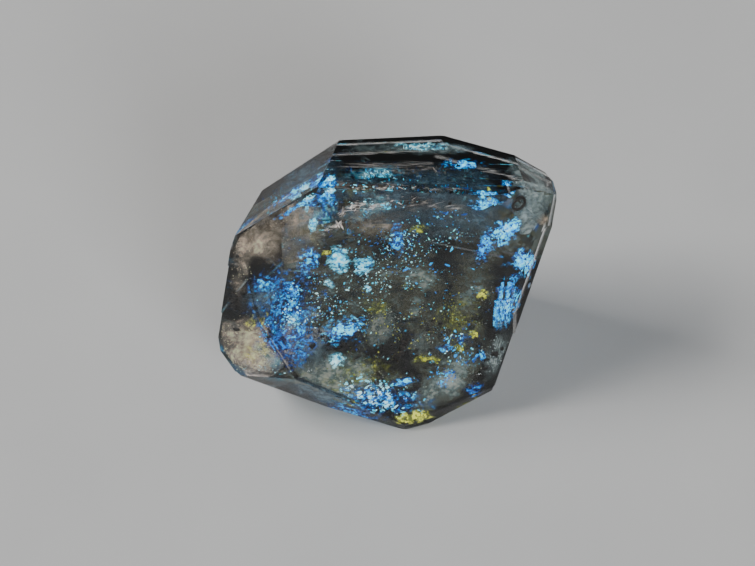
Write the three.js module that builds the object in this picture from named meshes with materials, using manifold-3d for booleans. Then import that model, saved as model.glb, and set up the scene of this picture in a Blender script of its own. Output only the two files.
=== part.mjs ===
// Petroleum quartz: one small crystal with a pyramid at each end, standing on a flat contact face.
// Millimetres, +Z up, origin at the middle of the bounding box and on the resting plane.
// The crystal is a block cut by one plane per face; ledges, a notch, pits and chips are cut after.

import * as THREE from 'three';
import { mergeVertices } from 'three/addons/utils/BufferGeometryUtils.js';
import Module from 'manifold-3d';

const wasm = await Module();
wasm.setup();

// Quartz angles, in degrees.
const PYRAMID_TILT = 51.8;
const SIXFOLD = 60;
const AXIS_TURN = 230.9;
const AXIS_RISE = 57.8;
const AXIS_SPIN = -27.5;

// Sizes, in millimetres.
const BLOCK = 40;
const HUB_HEIGHT = 6;

// Faces that follow the crystal lattice. Step counts sixths of a turn about the long axis,
// end is +1 for the upper pyramid and -1 for the lower one, out is the distance from the hub.
const PYRAMID_FACES = {
  front: { step: 0, end: 1, out: 2.25 },
  top: { step: 2, end: 1, out: 7.07 },
  upperLeft: { step: 3, end: 1, out: 7.53 },
  underLeft: { step: 4, end: -1, out: 7.24 },
};

// Small, contact and girdle faces. Turn is the compass direction of the outward normal,
// anticlockwise from +X, and rise is its angle above the horizontal.
const OTHER_FACES = {
  frontRight: { turn: 291.2, rise: 20.5, out: 3.3 },
  rightCorner: { turn: 316.1, rise: 31.9, out: 6.08 },
  rightStrip: { turn: 293.8, rise: 16.8, out: 3.4 },
  lowerRight: { turn: 287, rise: -3.2, out: 4.6 },
  lowerLeft: { turn: 260.5, rise: -6.1, out: 4.63 },
  leftCorner: { turn: 257.7, rise: 10.3, out: 4.11 },
  leftStrip: { turn: 251.9, rise: 14, out: 4.62 },
  topCorner: { turn: 31.1, rise: 47.4, out: 8.33 },
  leftWall: { turn: 155, rise: 0.8, out: 5.72 },
  leftShoulder: { turn: 154.9, rise: 8.5, out: 6.35 },
  backLeft: { turn: 121.1, rise: 14.4, out: 5.33 },
  backWall: { turn: 100.9, rise: 2.6, out: 3.76 },
  backRight: { turn: 76.2, rise: -1, out: 4.41 },
  backCorner: { turn: 40.3, rise: -5.2, out: 6.77 },
  rightWall: { turn: 5.2, rise: -19.4, out: 5.65 },
  rightFoot: { turn: 317.8, rise: -44, out: 7.04 },
  leftFoot: { turn: 240.9, rise: -44.8, out: 6.6 },
  leftHeel: { turn: 240.6, rise: -36.3, out: 6.51 },
  leftToe: { turn: 189.7, rise: -25.7, out: 7.53 },
  leftHip: { turn: 171.3, rise: -8.4, out: 6.95 },
  resting: { turn: 0, rise: -90, out: HUB_HEIGHT },
};

// Growth ledges. Each one lowers its face by depth beyond a line that runs along the edge shared
// with the face beside it, start away from that edge and turned by skew degrees.
const LEDGES = [
  { face: 'top', beside: 'front', start: 0.55, depth: 0.025, skew: 1.5 },
  { face: 'top', beside: 'front', start: 1.15, depth: 0.05, skew: -1 },
  { face: 'top', beside: 'front', start: 1.95, depth: 0.08, skew: 2 },
  { face: 'upperLeft', beside: 'front', start: 0.35, depth: 0.025, skew: 1 },
  { face: 'upperLeft', beside: 'front', start: 0.75, depth: 0.045, skew: -1.5 },
  { face: 'upperLeft', beside: 'front', start: 1.2, depth: 0.07, skew: 2 },
  { face: 'upperLeft', beside: 'front', start: 1.75, depth: 0.095, skew: 0 },
  { face: 'backWall', beside: 'top', start: 1.6, depth: 0.05, skew: 2 },
  { face: 'backWall', beside: 'top', start: 4.3, depth: 0.1, skew: -2 },
  { face: 'backWall', beside: 'top', start: 8.2, depth: 0.16, skew: 1 },
  { face: 'backRight', beside: 'top', start: 2.4, depth: 0.06, skew: -2 },
  { face: 'backRight', beside: 'top', start: 6.1, depth: 0.12, skew: 2 },
  { face: 'leftWall', beside: 'upperLeft', start: 2.2, depth: 0.05, skew: 3 },
  { face: 'leftWall', beside: 'upperLeft', start: 4.9, depth: 0.1, skew: -1 },
  { face: 'rightWall', beside: 'rightStrip', start: 2.3, depth: 0.05, skew: 3 },
];

// Notch across the right-hand wall, where the silhouette steps in.
const NOTCH = { face: 'rightWall', beside: 'topCorner', start: 7.2, depth: 0.09, skew: 0 };

// Shallow three-sided etch pits, placed on a face by two distances within it.
const PIT_RADIUS = 0.2;
const PIT_DEPTH = 0.07;
const PITS = [
  { face: 'front', across: 3.6, up: -4.2, size: 0.8 },
  { face: 'front', across: -3.9, up: -2.7, size: 0.7 },
  { face: 'backWall', across: -1.2, up: 2.6, size: 1.3 },
  { face: 'backWall', across: 1.6, up: -2.1, size: 1.6 },
  { face: 'backWall', across: 3, up: 1.2, size: 1 },
  { face: 'backWall', across: 0.2, up: 0.4, size: 0.9 },
  { face: 'backRight', across: -1.4, up: 1.8, size: 1.5 },
  { face: 'backRight', across: 0.6, up: -1.6, size: 1.1 },
  { face: 'leftWall', across: 0.4, up: 1.1, size: 1.2 },
  { face: 'rightWall', across: -0.8, up: 2.4, size: 1.1 },
  { face: 'rightWall', across: 0.9, up: -0.6, size: 1.4 },
];

// Shell-shaped chips out of corners and edges. A ball of the given radius, coming from one side,
// sinks into the point by bite; heights are above the resting plane.
const CHIPS = [
  { at: [-7.5, -2.51, 6.06], from: [-1, -0.5, 0.1], radius: 0.9, bite: 0.07 },
  { at: [-6.63, -3.31, 3.36], from: [-0.7, -0.7, -0.4], radius: 0.8, bite: 0.08 },
  { at: [4.8, -3.1, 1.9], from: [0.8, -0.6, -0.3], radius: 0.7, bite: 0.06 },
  { at: [7.5, 1.67, 10.64], from: [1, -0.1, 0.4], radius: 0.8, bite: 0.07 },
  { at: [-6.89, -1.36, 11.2], from: [-0.9, -0.3, 0.4], radius: 0.7, bite: 0.05 },
  { at: [2.47, 4.07, 11.81], from: [0.1, 0.8, 0.6], radius: 1.1, bite: 0.09 },
  { at: [0.73, 4.25, 0.1], from: [0, 0.9, -0.5], radius: 0.9, bite: 0.1 },
  { at: [-4.95, 3.11, 1.48], from: [-0.7, 0.7, -0.2], radius: 1, bite: 0.1 },
  { at: [-0.35, 0.2, 13.52], from: [0, -0.2, 1], radius: 0.8, bite: 0.03 },
  { at: [1.9, 0.36, 13.03], from: [0.1, -0.3, 1], radius: 0.6, bite: 0.025 },
];

// Turns a compass direction and a rise into a unit vector.
function heading(turn, rise) {
  const polar = THREE.MathUtils.degToRad(90 - rise);
  const compass = THREE.MathUtils.degToRad(turn);
  const flat = Math.sin(polar);
  return new THREE.Vector3(flat * Math.cos(compass), flat * Math.sin(compass), Math.cos(polar));
}

// Outward normal of a pyramid face, from the long axis and the sixfold steps about it.
function pyramidNormal(step, end) {
  const axis = heading(AXIS_TURN, AXIS_RISE);
  const level = new THREE.Vector3(0, 0, 1).cross(axis).normalize();
  const turn = THREE.MathUtils.degToRad(AXIS_SPIN + step * SIXFOLD);
  const side = level.applyAxisAngle(axis, turn);
  const tilt = THREE.MathUtils.degToRad(PYRAMID_TILT);
  return axis.multiplyScalar(end * Math.cos(tilt)).addScaledVector(side, Math.sin(tilt));
}

// A face is its outward normal, its distance from the hub and two directions within it.
function makeFace(normal, out) {
  const sideways = Math.abs(normal.z) > 0.99 ? new THREE.Vector3(0, 1, 0) : new THREE.Vector3(0, 0, 1);
  const across = sideways.cross(normal).normalize();
  const up = normal.clone().cross(across);
  return { normal, out, across, up };
}

// Every face by name.
function allFaces() {
  const faces = {};
  for (const [name, face] of Object.entries(PYRAMID_FACES)) {
    faces[name] = makeFace(pyramidNormal(face.step, face.end), face.out);
  }
  for (const [name, face] of Object.entries(OTHER_FACES)) {
    faces[name] = makeFace(heading(face.turn, face.rise), face.out);
  }
  return faces;
}

// Closed solid from a geometry, welded so that each corner is stored once.
function toSolid(geometry) {
  const bare = geometry.clone();
  bare.deleteAttribute('normal');
  bare.deleteAttribute('uv');
  const welded = mergeVertices(bare, 1e-5);
  const vertProperties = new Float32Array(welded.attributes.position.array);
  const triVerts = new Uint32Array(welded.index.array);
  return new wasm.Manifold(new wasm.Mesh({ numProp: 3, vertProperties, triVerts }));
}

// Cube standing on a face plane, with its edges along the run direction and the normal.
function cutterCube(normal, run, centre) {
  const third = normal.clone().cross(run);
  const pose = new THREE.Matrix4().makeBasis(run, third, normal).setPosition(centre);
  return toSolid(new THREE.BoxGeometry(BLOCK, BLOCK, BLOCK).applyMatrix4(pose));
}

// Cutter for everything beyond a face.
function faceCutter(face) {
  const centre = face.normal.clone().multiplyScalar(face.out + BLOCK / 2);
  return cutterCube(face.normal, face.across, centre);
}

// Cutter that starts at a line within the face and reaches depth below its plane.
function ledgeCutter(faces, ledge) {
  const face = faces[ledge.face];
  const beside = faces[ledge.beside];
  const cosine = face.normal.dot(beside.normal);
  const sine = Math.sqrt(1 - cosine * cosine);
  const edge = (cosine * face.out - beside.out) / sine;
  const run = face.normal.clone().multiplyScalar(cosine).sub(beside.normal).divideScalar(sine);
  run.applyAxisAngle(face.normal, THREE.MathUtils.degToRad(ledge.skew));
  const centre = face.normal.clone().multiplyScalar(face.out - ledge.depth + BLOCK / 2);
  centre.addScaledVector(run, edge + ledge.start + BLOCK / 2);
  return cutterCube(face.normal, run, centre);
}

// Three-sided point pushed half its height into a face.
function pitCutter(faces, pit) {
  const face = faces[pit.face];
  const radius = PIT_RADIUS * pit.size;
  const depth = PIT_DEPTH * pit.size;
  const point = new THREE.ConeGeometry(radius * 2, depth * 2, 3);
  point.rotateX(-Math.PI / 2);
  const pose = new THREE.Matrix4().makeBasis(face.across, face.up, face.normal);
  const seat = face.normal.clone().multiplyScalar(face.out);
  seat.addScaledVector(face.across, pit.across);
  seat.addScaledVector(face.up, pit.up);
  return toSolid(point.applyMatrix4(pose.setPosition(seat)));
}

// Ball that leaves a shell-shaped hollow.
function chipCutter(chip) {
  const from = new THREE.Vector3(...chip.from).normalize();
  const centre = new THREE.Vector3(...chip.at).addScaledVector(from, chip.radius - chip.bite);
  const ball = new THREE.IcosahedronGeometry(chip.radius, 5);
  return toSolid(ball.translate(centre.x, centre.y, centre.z - HUB_HEIGHT));
}

// The finished crystal, moved so that its box stands centred on the origin.
function buildCrystal() {
  const faces = allFaces();
  let solid = toSolid(new THREE.BoxGeometry(BLOCK, BLOCK, BLOCK));
  for (const face of Object.values(faces)) {
    solid = solid.subtract(faceCutter(face));
  }
  for (const ledge of [...LEDGES, NOTCH]) {
    solid = solid.subtract(ledgeCutter(faces, ledge));
  }
  for (const pit of PITS) {
    solid = solid.subtract(pitCutter(faces, pit));
  }
  for (const chip of CHIPS) {
    solid = solid.subtract(chipCutter(chip));
  }
  const mesh = solid.getMesh();
  const geometry = new THREE.BufferGeometry();
  geometry.setAttribute('position', new THREE.BufferAttribute(new Float32Array(mesh.vertProperties), 3));
  geometry.setIndex(new THREE.BufferAttribute(new Uint32Array(mesh.triVerts), 1));
  geometry.computeBoundingBox();
  const middle = geometry.boundingBox.getCenter(new THREE.Vector3());
  geometry.translate(-middle.x, -middle.y, -geometry.boundingBox.min.z);
  geometry.computeVertexNormals();
  return geometry;
}

const quartz = new THREE.MeshStandardMaterial({
  color: 0x8f8d8a,
  roughness: 0.05,
  metalness: 0,
  flatShading: true,
});

const crystal = new THREE.Mesh(buildCrystal(), quartz);
crystal.name = 'quartz_crystal';

const part = new THREE.Group();
part.name = 'petroleum_quartz';
part.add(crystal);

export default part;
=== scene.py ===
# %% [markdown]
# # Petroleum quartz
#
# One small quartz crystal, full of oil. The solid model gives the crystal's faces. This script
# gives them a clear finish, then fills the inside with what makes this stone special: films and
# flecks of blue and yellow oil with a painted glow, smoky veils, cracks with painted silvery
# highlights and specks of black bitumen.
#
# The inside could be a pattern on the faces, but it would lie flat on the stone from every side.
# So all of it is real mesh inside a clear solid, and the faces bend the view of it as in nature.
#
# Everything is in metres and stands on z = 0. The next cell loads the solid model, on which every
# new piece rides, and keeps its box, because nothing made here may make the crystal larger.

import math

import bpy
import mathutils
import numpy as np
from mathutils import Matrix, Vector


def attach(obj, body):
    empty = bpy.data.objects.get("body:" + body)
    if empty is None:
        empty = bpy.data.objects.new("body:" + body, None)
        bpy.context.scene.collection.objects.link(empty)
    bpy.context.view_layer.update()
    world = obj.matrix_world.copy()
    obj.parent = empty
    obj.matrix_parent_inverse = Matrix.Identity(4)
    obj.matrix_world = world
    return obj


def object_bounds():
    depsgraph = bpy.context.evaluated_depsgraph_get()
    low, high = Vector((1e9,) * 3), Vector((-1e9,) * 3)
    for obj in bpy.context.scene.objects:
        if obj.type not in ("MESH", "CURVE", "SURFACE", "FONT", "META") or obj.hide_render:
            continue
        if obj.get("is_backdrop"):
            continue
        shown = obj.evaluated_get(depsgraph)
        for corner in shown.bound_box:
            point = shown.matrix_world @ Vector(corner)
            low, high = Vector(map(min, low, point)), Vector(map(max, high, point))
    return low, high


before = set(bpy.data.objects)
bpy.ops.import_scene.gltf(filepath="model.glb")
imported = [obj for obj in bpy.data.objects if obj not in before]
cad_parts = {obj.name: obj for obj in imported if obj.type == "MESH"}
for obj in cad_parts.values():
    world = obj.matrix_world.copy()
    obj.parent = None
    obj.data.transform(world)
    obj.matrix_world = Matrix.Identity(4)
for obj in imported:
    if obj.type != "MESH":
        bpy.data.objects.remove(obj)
box_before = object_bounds()
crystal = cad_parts["quartz_crystal"]
print("crystal box", [tuple(round(c * 1000, 2) for c in corner) for corner in box_before], "mm")

# %% [markdown]
# ## Looking from the photograph's side
#
# The crystal fills about 343 of the picture's 755 pixels, and its longest side is taken as 15 mm.
# Places inside the stone could be given in metres, but they are easier to find and to mend as
# places in the picture. So the next cell turns picture positions into places on a plane that
# faces the camera and goes through the apex, where the upper left faces meet.

# %% Picture plane
PIXEL = 4.416e-5
PICTURE = (755, 566)
ELEVATION = math.radians(60)
APEX_PIXEL = (317, 188)
APEX = np.array([-3.10e-3, 0.07e-3, 14.11e-3])
RIGHT = np.array([1.0, 0.0, 0.0])
UPWARD = np.array([0.0, math.sin(ELEVATION), math.cos(ELEVATION)])
BACK = np.array([0.0, -math.cos(ELEVATION), math.sin(ELEVATION)])
QUARTZ_IOR = 1.544


def on_screen(across, down):
    """Point on the plane through the apex that faces the camera: apex plus pixel steps."""
    across = np.asarray(across, float)[..., None] - APEX_PIXEL[0]
    down = np.asarray(down, float)[..., None] - APEX_PIXEL[1]
    return APEX + PIXEL * (across * RIGHT - down * UPWARD)


print("one pixel covers", PIXEL * 1000, "mm of the crystal")


# %% [markdown]
# ## The planes of the crystal
#
# To lie inside the stone, a fleck has to be under every face. That could be tested by rays against
# the mesh, one at a time. But a convex crystal is simply the set of points under every face plane,
# normal . point <= distance, and thousands of points pass that test in one product of arrays.
# The planes are read from the solid model, and only those that no corner lies beyond are kept.

# %% Face planes
# A plane is an outer one if no corner is more than FLUSH beyond it. Tiny faces don't count.
FLUSH = 4e-6
SMALLEST_FACE = 2e-8
FACES_CAMERA = 0.7
mesh = crystal.data


def read(source, key, width):
    """Whole column of mesh values as an array with width numbers a row."""
    values = np.empty(len(source) * width)
    source.foreach_get(key, values)
    return values.reshape(-1, width)


corners = read(mesh.vertices, "co", 3)
normals = read(mesh.polygons, "normal", 3)
middles = read(mesh.polygons, "center", 3)
areas = read(mesh.polygons, "area", 1)[:, 0]
distances = np.einsum("ij,ij->i", normals, middles)
reach = (corners @ normals.T).max(axis=0)
kept = (reach - distances < FLUSH) & (areas > SMALLEST_FACE)
PLANES = normals[kept]
OFFSETS = distances[kept]
FRONT_NORMAL = PLANES[np.argmax(areas[kept] * (PLANES @ BACK > FACES_CAMERA))]
print(kept.sum(), "of", len(kept), "triangles lie on outer planes")
print("broad front face looks along", np.round(FRONT_NORMAL, 3))

# %% [markdown]
# ## Sight lines that bend
#
# Quartz bends light, so what shows at a place in the picture isn't straight behind it. A sight
# line enters at the nearest front plane, turns by Snell's law and runs on until it meets a plane
# again. A seat is a point part of the way along that run. A straight line would be simpler, but
# its patches would show beside their places, and further off the deeper they lie.

# %% Seats inside the stone
# The skin is the clear quartz left between the faces and what lies under them.
SKIN = 1.6e-4
PULLS = 16
GRAZING = 0.08
STANDSTILL = 1e-6


def front_entry(start):
    """Entry of each sight line: the deepest of its crossings with planes that face the camera."""
    facing = PLANES @ BACK
    seen = facing > GRAZING
    travel = (OFFSETS[seen] - start @ PLANES[seen].T) / facing[seen]
    first = travel.argmin(axis=1)
    entry = start + BACK * travel.min(axis=1)[:, None]
    return entry, PLANES[seen][first]


def bent_inward(normal):
    """Snell's law for a sight line going in: the along-face part shrinks by the index."""
    cosine = normal @ BACK
    inside = np.sqrt(1 - (1 - cosine**2) / QUARTZ_IOR**2)
    return -BACK / QUARTZ_IOR + (cosine / QUARTZ_IOR - inside)[:, None] * normal


def room_ahead(start, heading):
    """Distance to the first plane, moved inward by the skin, along each heading."""
    speed = heading @ PLANES.T
    gap = OFFSETS - SKIN - start @ PLANES.T
    return np.where(speed > STANDSTILL, gap / np.maximum(speed, STANDSTILL), 1.0).min(axis=1)


def seat(across, down, depth):
    """Place inside the stone that shows at a picture position; depth runs from 0 to 1."""
    entry, normal = front_entry(on_screen(across, down))
    heading = bent_inward(normal)
    start = entry - normal * SKIN
    room = np.clip(room_ahead(start, heading), 0, None)
    return start + heading * (room * depth)[:, None]


def is_inside(points, margin):
    """True where a point is at least margin under every plane."""
    return (points @ PLANES.T <= OFFSETS - margin).all(axis=1)


def pulled_in(points):
    """Points outside moved back: each time along the normal of the plane that it passes most."""
    for _ in range(PULLS):
        excess = points @ PLANES.T - (OFFSETS - SKIN)
        points = points - PLANES[excess.argmax(axis=1)] * np.clip(excess.max(axis=1), 0, None)[:, None]
    return points


apex_seat = seat(np.array([APEX_PIXEL[0]]), np.array([APEX_PIXEL[1]]), 0.5)[0]
print("half way in behind the apex:", np.round(apex_seat * 1000, 2), "mm")


# %% [markdown]
# ## Cloudiness
#
# Nothing in the stone is spread evenly. Plain random places look like sand, so the chance of a
# fleck has to rise and fall in clouds. Random values on a square lattice, blended smoothly and
# added up at four sizes, give such clouds, and a few lines of array code are enough for them.

# %% Lattice noise
SIDE = 64
LATTICE = np.random.default_rng(5).uniform(0, 1, (SIDE, SIDE))
SIZES = 4


def one_size(x, y):
    """Lattice value blended between its four neighbours by the curve 3t^2 - 2t^3."""
    left, low = np.floor(x).astype(int), np.floor(y).astype(int)
    s, t = x - left, y - low
    s, t = s * s * (3 - 2 * s), t * t * (3 - 2 * t)
    left, right, low, high = left % SIDE, (left + 1) % SIDE, low % SIDE, (low + 1) % SIDE
    here = LATTICE[left, low] * (1 - s) + LATTICE[right, low] * s
    over = LATTICE[left, high] * (1 - s) + LATTICE[right, high] * s
    return here * (1 - t) + over * t


def cloudy(across, down, spacing):
    """Sum of four sizes, each half as large and half as strong, stretched and kept in 0..1."""
    total = 0.0
    whole = 0.0
    for k in range(SIZES):
        total = total + 0.5**k * one_size(across / spacing * 2**k, down / spacing * 2**k + 9 * k)
        whole = whole + 0.5**k
    return np.clip((total / whole - 0.5) * 2.2 + 0.5, 0, 1)


sample = cloudy(np.arange(400.0), np.arange(400.0), 9.0)
print("cloud values run from", sample.min().round(2), "to", sample.max().round(2))

# %% [markdown]
# ## Meshes from whole arrays
#
# The stone holds thousands of flecks. An object for each would be slow and hard to keep in order.
# So each kind of inclusion is one mesh. Its points and faces are computed as whole arrays, and
# foreach_set puts them in at once, with values such as a fleck's tint stored on the points.

# %% Mesh helpers
def mesh_piece(name, slot, part, material, smooth=False):
    """Piece from (points, faces, values), riding on the crystal: all faces have as many corners."""
    points, faces, values = part
    data = bpy.data.meshes.new(name)
    size = faces.shape[1]
    data.vertices.add(len(points))
    data.vertices.foreach_set("co", points.astype(np.float32).ravel())
    data.loops.add(faces.size)
    data.loops.foreach_set("vertex_index", faces.astype(np.int32).ravel())
    data.polygons.add(len(faces))
    data.polygons.foreach_set("loop_start", np.arange(0, faces.size, size, dtype=np.int32))
    data.polygons.foreach_set("use_smooth", np.full(len(faces), smooth))
    for key, column in values.items():
        layer = data.attributes.new(key, "FLOAT", "POINT")
        layer.data.foreach_set("value", column.astype(np.float32))
    data.update(calc_edges=True)
    data.validate()
    data.materials.append(material)
    piece = bpy.data.objects.new(name, data)
    bpy.context.collection.objects.link(piece)
    if slot:
        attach(piece, "root")
    print(name, len(faces) * (size - 2), "triangles")
    return piece


def joined(parts):
    """One set of point, face and value arrays from many: later faces count on."""
    starts = np.cumsum([0] + [len(part[0]) for part in parts[:-1]])
    points = np.concatenate([part[0] for part in parts])
    faces = np.concatenate([part[1] + start for part, start in zip(parts, starts)])
    values = {key: np.concatenate([part[2][key] for part in parts]) for key in parts[0][2]}
    return points, faces, values


# %% [markdown]
# ## Finishes and shared effects
#
# Every finish here is a Principled shader fed by noise. An effect that several finishes share could
# be copied into each, but then a change has to be made in each. So it is a node group, built once
# and placed in each material with its own values. A small class keeps the building short.

# %% Finish helpers
def new_material(name):
    """Material with its node tree, its Principled shader and its output."""
    material = bpy.data.materials.new(name)
    material.use_nodes = True
    tree = material.node_tree
    return material, tree, tree.nodes["Principled BSDF"], tree.nodes["Material Output"]


def ramp(tree, stops):
    """Colour ramp from (position, colour) pairs."""
    node = tree.nodes.new("ShaderNodeValToRGB")
    first, last = node.color_ramp.elements
    first.position, first.color = stops[0][0], (*stops[0][1], 1)
    last.position, last.color = stops[-1][0], (*stops[-1][1], 1)
    for position, colour in stops[1:-1]:
        node.color_ramp.elements.new(position).color = (*colour, 1)
    return node


class Group:
    """Node group being built: named sockets, and short ways to add and link nodes."""

    def __init__(self, name, takes, gives):
        self.tree = bpy.data.node_groups.new(name, "ShaderNodeTree")
        for socket, kind in takes:
            self.tree.interface.new_socket(name=socket, in_out="INPUT", socket_type=kind)
        for socket in gives:
            self.tree.interface.new_socket(name=socket, in_out="OUTPUT", socket_type="NodeSocketFloat")
        self.into = self.tree.nodes.new("NodeGroupInput")
        self.out = self.tree.nodes.new("NodeGroupOutput")
        self.place = self.tree.nodes.new("ShaderNodeTexCoord").outputs["Object"]

    def link(self, source, target):
        self.tree.links.new(source, target)

    def noise(self, scale, detail, place=None):
        """Noise value at object coordinates, or at another place."""
        node = self.tree.nodes.new("ShaderNodeTexNoise")
        node.inputs["Scale"].default_value = scale
        node.inputs["Detail"].default_value = detail
        node.inputs["Roughness"].default_value = 0.6
        self.link(place or self.place, node.inputs["Vector"])
        return node.outputs["Fac"]

    def math(self, operation, *values, clamp=False):
        """Math node whose inputs are sockets or numbers."""
        node = self.tree.nodes.new("ShaderNodeMath")
        node.operation = operation
        node.use_clamp = clamp
        for socket, value in zip(node.inputs, values):
            if isinstance(value, (int, float)):
                socket.default_value = value
            else:
                self.link(value, socket)
        return node.outputs[0]

    def spread(self, value, low, high, bottom=0.0, top=1.0):
        """Map Range node with a smooth step from low..high to bottom..top."""
        node = self.tree.nodes.new("ShaderNodeMapRange")
        node.interpolation_type = "SMOOTHSTEP"
        self.link(value, node.inputs["Value"])
        node.inputs["From Min"].default_value = low
        node.inputs["From Max"].default_value = high
        node.inputs["To Min"].default_value = bottom
        node.inputs["To Max"].default_value = top
        return node.outputs["Result"]


def use(tree, group, settings):
    """Group node in a material, with its plain inputs set."""
    node = tree.nodes.new("ShaderNodeGroup")
    node.node_tree = group.tree
    for key, value in settings.items():
        node.inputs[key].default_value = value
    return node


def attribute(tree, name):
    """Output of a value that the mesh carries."""
    node = tree.nodes.new("ShaderNodeAttribute")
    node.attribute_name = name
    return node.outputs["Fac"]


# %% [markdown]
# ## The crystal's finish
#
# The stone is clear and slightly smoky, with fine ridges where it grew. The ridges run parallel
# to the broad front face, so they are bands along its normal. They could be cut into the mesh, but
# they are lower than a hair is wide, so a Bump node is enough. A faint film of wear makes the
# faces less than perfect, and a narrow rough bevel makes the edges look handled.

# %% Quartz
RIDGE_SCALE = 5200
RIDGE_WOBBLE = 1.2e-4
RIDGE_HEIGHT = 1.4e-5
WORN_FILM = 0.09
SMOKE_TINT = (0.46, 0.41, 0.36, 1)
SMOKE_DENSITY = 90
EDGE_ROUGHNESS = 0.15
EDGE_WIDTH = 3e-5
EDGE_ANGLE = 12

growth = Group("growth_ridges", [("Along", "NodeSocketVector")], ["Height", "Roughness"])
dot = growth.tree.nodes.new("ShaderNodeVectorMath")
dot.operation = "DOT_PRODUCT"
growth.link(growth.place, dot.inputs[0])
growth.link(growth.into.outputs["Along"], dot.inputs[1])
wobbly = growth.math("MULTIPLY_ADD", growth.noise(260, 2), RIDGE_WOBBLE, dot.outputs["Value"])
bands = growth.tree.nodes.new("ShaderNodeTexNoise")
bands.noise_dimensions = "1D"
bands.inputs["Scale"].default_value = RIDGE_SCALE
bands.inputs["Detail"].default_value = 4
growth.link(wobbly, bands.inputs["W"])
growth.link(bands.outputs["Fac"], growth.out.inputs["Height"])
worn = growth.spread(growth.noise(420, 6), 0.5, 0.75, 0.0, WORN_FILM)
growth.link(worn, growth.out.inputs["Roughness"])


def quartz_material(name, roughness):
    """Clear quartz with growth ridges; roughness is added to the worn film."""
    material, tree, shader, output = new_material(name)
    shader.inputs["Base Color"].default_value = (1, 1, 1, 1)
    shader.inputs["Transmission Weight"].default_value = 1
    shader.inputs["IOR"].default_value = QUARTZ_IOR
    skin = use(tree, growth, {"Along": FRONT_NORMAL})
    bump = tree.nodes.new("ShaderNodeBump")
    bump.inputs["Strength"].default_value = 0.35
    bump.inputs["Distance"].default_value = RIDGE_HEIGHT
    tree.links.new(skin.outputs["Height"], bump.inputs["Height"])
    tree.links.new(bump.outputs["Normal"], shader.inputs["Normal"])
    more = tree.nodes.new("ShaderNodeMath")
    more.operation = "ADD"
    more.inputs[1].default_value = roughness
    tree.links.new(skin.outputs["Roughness"], more.inputs[0])
    tree.links.new(more.outputs[0], shader.inputs["Roughness"])
    volume = tree.nodes.new("ShaderNodeVolumeAbsorption")
    volume.inputs["Color"].default_value = SMOKE_TINT
    volume.inputs["Density"].default_value = SMOKE_DENSITY
    tree.links.new(volume.outputs["Volume"], output.inputs["Volume"])
    return material


crystal.data.materials.clear()
crystal.data.materials.append(quartz_material("quartz", 0.0))
crystal.data.materials.append(quartz_material("quartz_edge", EDGE_ROUGHNESS))
bevel = crystal.modifiers.new("worn edges", "BEVEL")
bevel.width = EDGE_WIDTH
bevel.segments = 2
bevel.limit_method = "ANGLE"
bevel.angle_limit = math.radians(EDGE_ANGLE)
bevel.material = 1
print("worn edges", round(EDGE_WIDTH * 1e6), "micrometres wide")

# %% [markdown]
# ## Patches
#
# Oil lies in healed cracks, so it comes in patches. One random cloud over the whole stone would
# have the right colours in the wrong places, so each patch has a row of its own. It is named after
# where it shows in the photograph, and says how large it is there, how deep it lies and what it is
# made of. Places and sizes are picture pixels, depth is a share of the way through the stone, tint
# runs from dull to bright, and film is how solid the film behind the flecks is.

# %% What a patch is
CLOUD_PIXELS = 9.0
PAST_THE_RIM = 1.1
SCATTER = 0.12


def patch(
    at, half, turn=0, depth=(0.2, 0.4), count=60, size=(1.5, 5), stretch=1.0, tint=(0.2, 0.9), film=0.0
):
    """One patch: middle, half width and height and fleck size in picture pixels, turn in degrees."""
    return {
        "at": at, "half": half, "turn": math.radians(turn), "depth": depth, "count": count,
        "size": size, "stretch": stretch, "tint": tint, "film": film,
    }


def spots(row, rng, tries):
    """Picture positions in a patch, and their distance from its middle: more where it is cloudy."""
    radius = np.sqrt(rng.uniform(0, 1, tries)) * PAST_THE_RIM
    swing = rng.uniform(0, 2 * np.pi, tries)
    x, y = row["half"][0] * radius * np.cos(swing), row["half"][1] * radius * np.sin(swing)
    across = row["at"][0] + x * math.cos(row["turn"]) - y * math.sin(row["turn"])
    down = row["at"][1] + x * math.sin(row["turn"]) + y * math.cos(row["turn"])
    chance = cloudy(across, down, CLOUD_PIXELS) * (1.25 - radius**2)
    good = chance > rng.uniform(0.15, 0.75, tries)
    return across[good], down[good], radius[good], x[good]


def depth_at(row, x, rng, lean):
    """Depth of a crack that leans across its patch, with a little scatter."""
    near, far = row["depth"]
    across = 0.5 + 0.4 * lean * x / row["half"][0] + rng.uniform(-SCATTER, SCATTER, len(x))
    return np.clip(near + (far - near) * across, 0.02, 0.98)


print("a plain patch:", patch((0, 0), (1, 1)))


# %% [markdown]
# ## Flecks
#
# A fleck is a droplet of oil pressed flat in a crack. A sphere for each would cost hundreds of
# faces and look like a bead. A thin closed lens needs fourteen: a ragged rim of seven points, and a
# point above and below it. Each lens carries a tint, from 0 at the dull end of its colour to 1.

# %% Fleck shapes
RIM = 7
CLEAR_OF_FACES = 1.2e-4


def any_turn(rng, count):
    """Random unit vectors: three normal deviates, scaled to length one."""
    arrows = rng.normal(size=(count, 3))
    return arrows / np.linalg.norm(arrows, axis=1)[:, None]


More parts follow.
